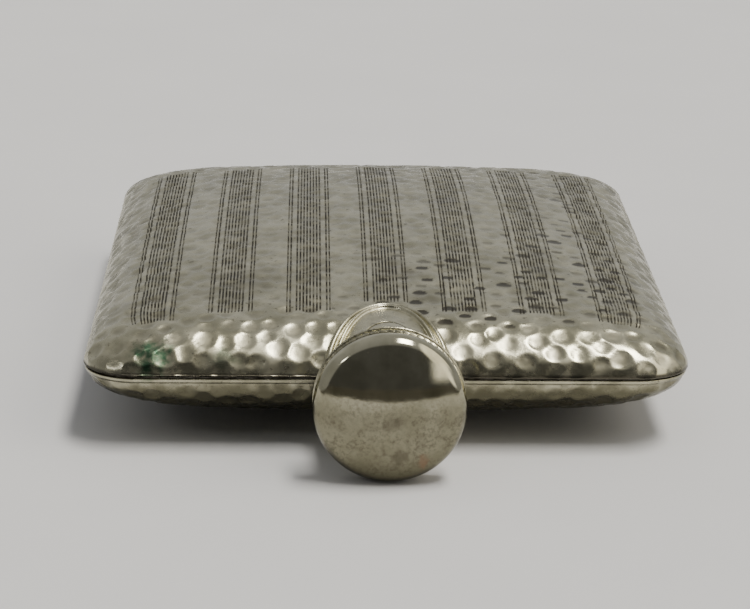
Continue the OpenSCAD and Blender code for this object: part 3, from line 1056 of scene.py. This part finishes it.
def pale_floor():
    f = Finish("pale_floor", metallic=0.0)
    colour = f.blend(f.spread(f.noise(40, 3), 0.3, 0.7), (0.665, 0.665, 0.67), (0.68, 0.68, 0.685))
    return f.finish(colour, f.spread(f.noise(10, 2), 0.3, 0.7, 0.7, 0.75))


# ---- Assembly ------------------------------------------------------------------------------

FINISHES = {
    "hammered_plate": hammered_plate(),
    "plain_plate": plain_plate(),
    "cap_plate": cap_plate(),
    "milled_plate": milled_plate(),
    "brass": brass(),
    "solder": solder(),
    "cork": cork(),
}


def place(piece, node, body, slot):
    """The piece stands for a CAD node, moves with its body and takes its slot's finish."""
    piece.data.materials.clear()
    piece.data.materials.append(FINISHES[slot])
    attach(piece, body)
    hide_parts(node)


opening = neck_opening()
front_shell = make_front_shell()
back_shell = make_back_shell()
for shell in (front_shell, back_shell):
    cut(shell, opening)
bpy.data.objects.remove(opening)

place(front_shell, "front_shell", "flask", "hammered_plate")
place(back_shell, "back_shell", "flask", "hammered_plate")
place(make_collar(), "neck_collar", "flask", "plain_plate")
place(make_sleeve(), "neck_sleeve", "flask", "plain_plate")
place(make_ferrule(), "neck_ferrule", "flask", "brass")
place(make_dome(), "cap_dome", "cap", "cap_plate")
place(make_barrel(), "cap_barrel", "cap", "milled_plate")
place(make_cork(), "cork_disc", "liner", "cork")
place(make_plate(), "liner_plate", "liner", "brass")

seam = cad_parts["seam_solder"]
seam.data.materials.clear()
seam.data.materials.append(FINISHES["solder"])

# ---- Studio --------------------------------------------------------------------------------

FLOOR_SIZE = 8.0


def make_floor():
    half = FLOOR_SIZE / 2
    mesh = bpy.data.meshes.new("floor")
    mesh.from_pydata([(-half, -half, 0), (half, -half, 0), (half, half, 0), (-half, half, 0)],
                     [], [(0, 1, 2, 3)])
    mesh.materials.append(pale_floor())
    floor = bpy.data.objects.new("floor", mesh)
    bpy.context.scene.collection.objects.link(floor)


# Light round the flask, by the angle from the horizon behind the camera, up over the top and down to the
# horizon beyond the flask: angle in degrees, brightness
SKY = [(0, 0.085), (40, 0.085), (52, 0.29), (98, 0.38), (110, 0.41), (134, 0.44), (146, 0.52), (180, 0.5)]
# Light from both sides, and how far to the side it starts
SIDE_LIGHT = 0.35
SIDE_START = (0.66, 0.78)
# The sky as the camera sees it
PLAIN_SKY = 0.6
RAMP_SCALE = 4.0
WARM = (1.0, 0.93, 0.79)
# Soft boxes: range of that angle, range across, soft edge of each, brightness, how warm
SOFT_BOXES = [
    ((66, 100), 3, (0.18, 0.36), 0.045, 28.0, 0.55),
    ((44, 51), 1, (-0.74, -0.66), 0.012, 9.0, 0.0),
    ((5, 108), 4, (0.52, 0.92), 0.05, 1.5, 0.9),
]


def make_sky():
    world = bpy.data.worlds.new("studio")
    world.use_nodes = True
    bpy.context.scene.world = world
    n = Nodes(world.node_tree)
    way = n.add("ShaderNodeSeparateXYZ")
    n.feed(way.inputs[0], n.add("ShaderNodeTexCoord").outputs["Generated"])
    x = way.outputs["X"]

    def window(value, low, high, edge):
        return n.minus(n.spread(value, low - edge, low + edge), n.spread(value, high - edge, high + edge))

    over = n.maths("DIVIDE", n.maths("ARCTAN2", way.outputs["Z"], n.times(way.outputs["Y"], -1.0)), math.pi)
    ramp = n.add("ShaderNodeValToRGB")
    stops = ramp.color_ramp.elements
    while len(stops) < len(SKY):
        stops.new(0.5)
    for stop, (angle, light) in zip(stops, SKY):
        stop.position = angle / 180
        stop.color = (light / RAMP_SCALE, light / RAMP_SCALE, light / RAMP_SCALE, 1)
    n.feed(ramp.inputs["Fac"], over)
    side = n.spread(n.maths("ABSOLUTE", x), *SIDE_START)
    light = n.blend(side, n.times(ramp.outputs["Color"], RAMP_SCALE), SIDE_LIGHT, "FLOAT")
    warmth = 0.0
    for angles, angle_edge, across, across_edge, brightness, warm in SOFT_BOXES:
        low, high = angles[0] / 180, angles[1] / 180
        box = n.times(window(over, low, high, angle_edge / 180), window(x, *across, across_edge))
        light = n.plus(light, n.times(box, brightness))
        warmth = n.plus(warmth, n.times(box, warm))
    background = n.tree.nodes["Background"]
    seen = n.add("ShaderNodeLightPath").outputs["Is Camera Ray"]
    n.feed(background.inputs["Strength"], n.blend(seen, light, PLAIN_SKY, "FLOAT"))
    n.feed(background.inputs["Color"], n.blend(warmth, (1, 1, 1), WARM))


# The table starts this far in front of the cap, in millimetres; the rest is in metres
TABLE_START = 88
TABLE_HALF_WIDTH, TABLE_REACH, TABLE_LIFT = 3, 4, 0.0005


def make_dark_table():
    """The dark table beyond the paper's near edge, which only shows as a reflection."""
    near, far, w, z = (NECK_EDGE_Y - CAP_APEX - TABLE_START) * MM, -TABLE_REACH, TABLE_HALF_WIDTH, TABLE_LIFT
    mesh = bpy.data.meshes.new("dark_table")
    mesh.from_pydata([(-w, far, z), (w, far, z), (w, near, z), (-w, near, z)], [], [(0, 1, 2, 3)])
    material = bpy.data.materials.new("dark_table")
    material.use_nodes = True
    shader = material.node_tree.nodes["Principled BSDF"]
    shader.inputs["Base Color"].default_value = (0.075, 0.072, 0.064, 1)
    shader.inputs["Roughness"].default_value = 1.0
    shader.inputs["Specular IOR Level"].default_value = 0.0
    mesh.materials.append(material)
    table = bpy.data.objects.new("dark_table", mesh)
    bpy.context.scene.collection.objects.link(table)
    table.visible_camera = False
    table.visible_diffuse = False
    table.visible_shadow = False


make_floor()
make_sky()
make_dark_table()
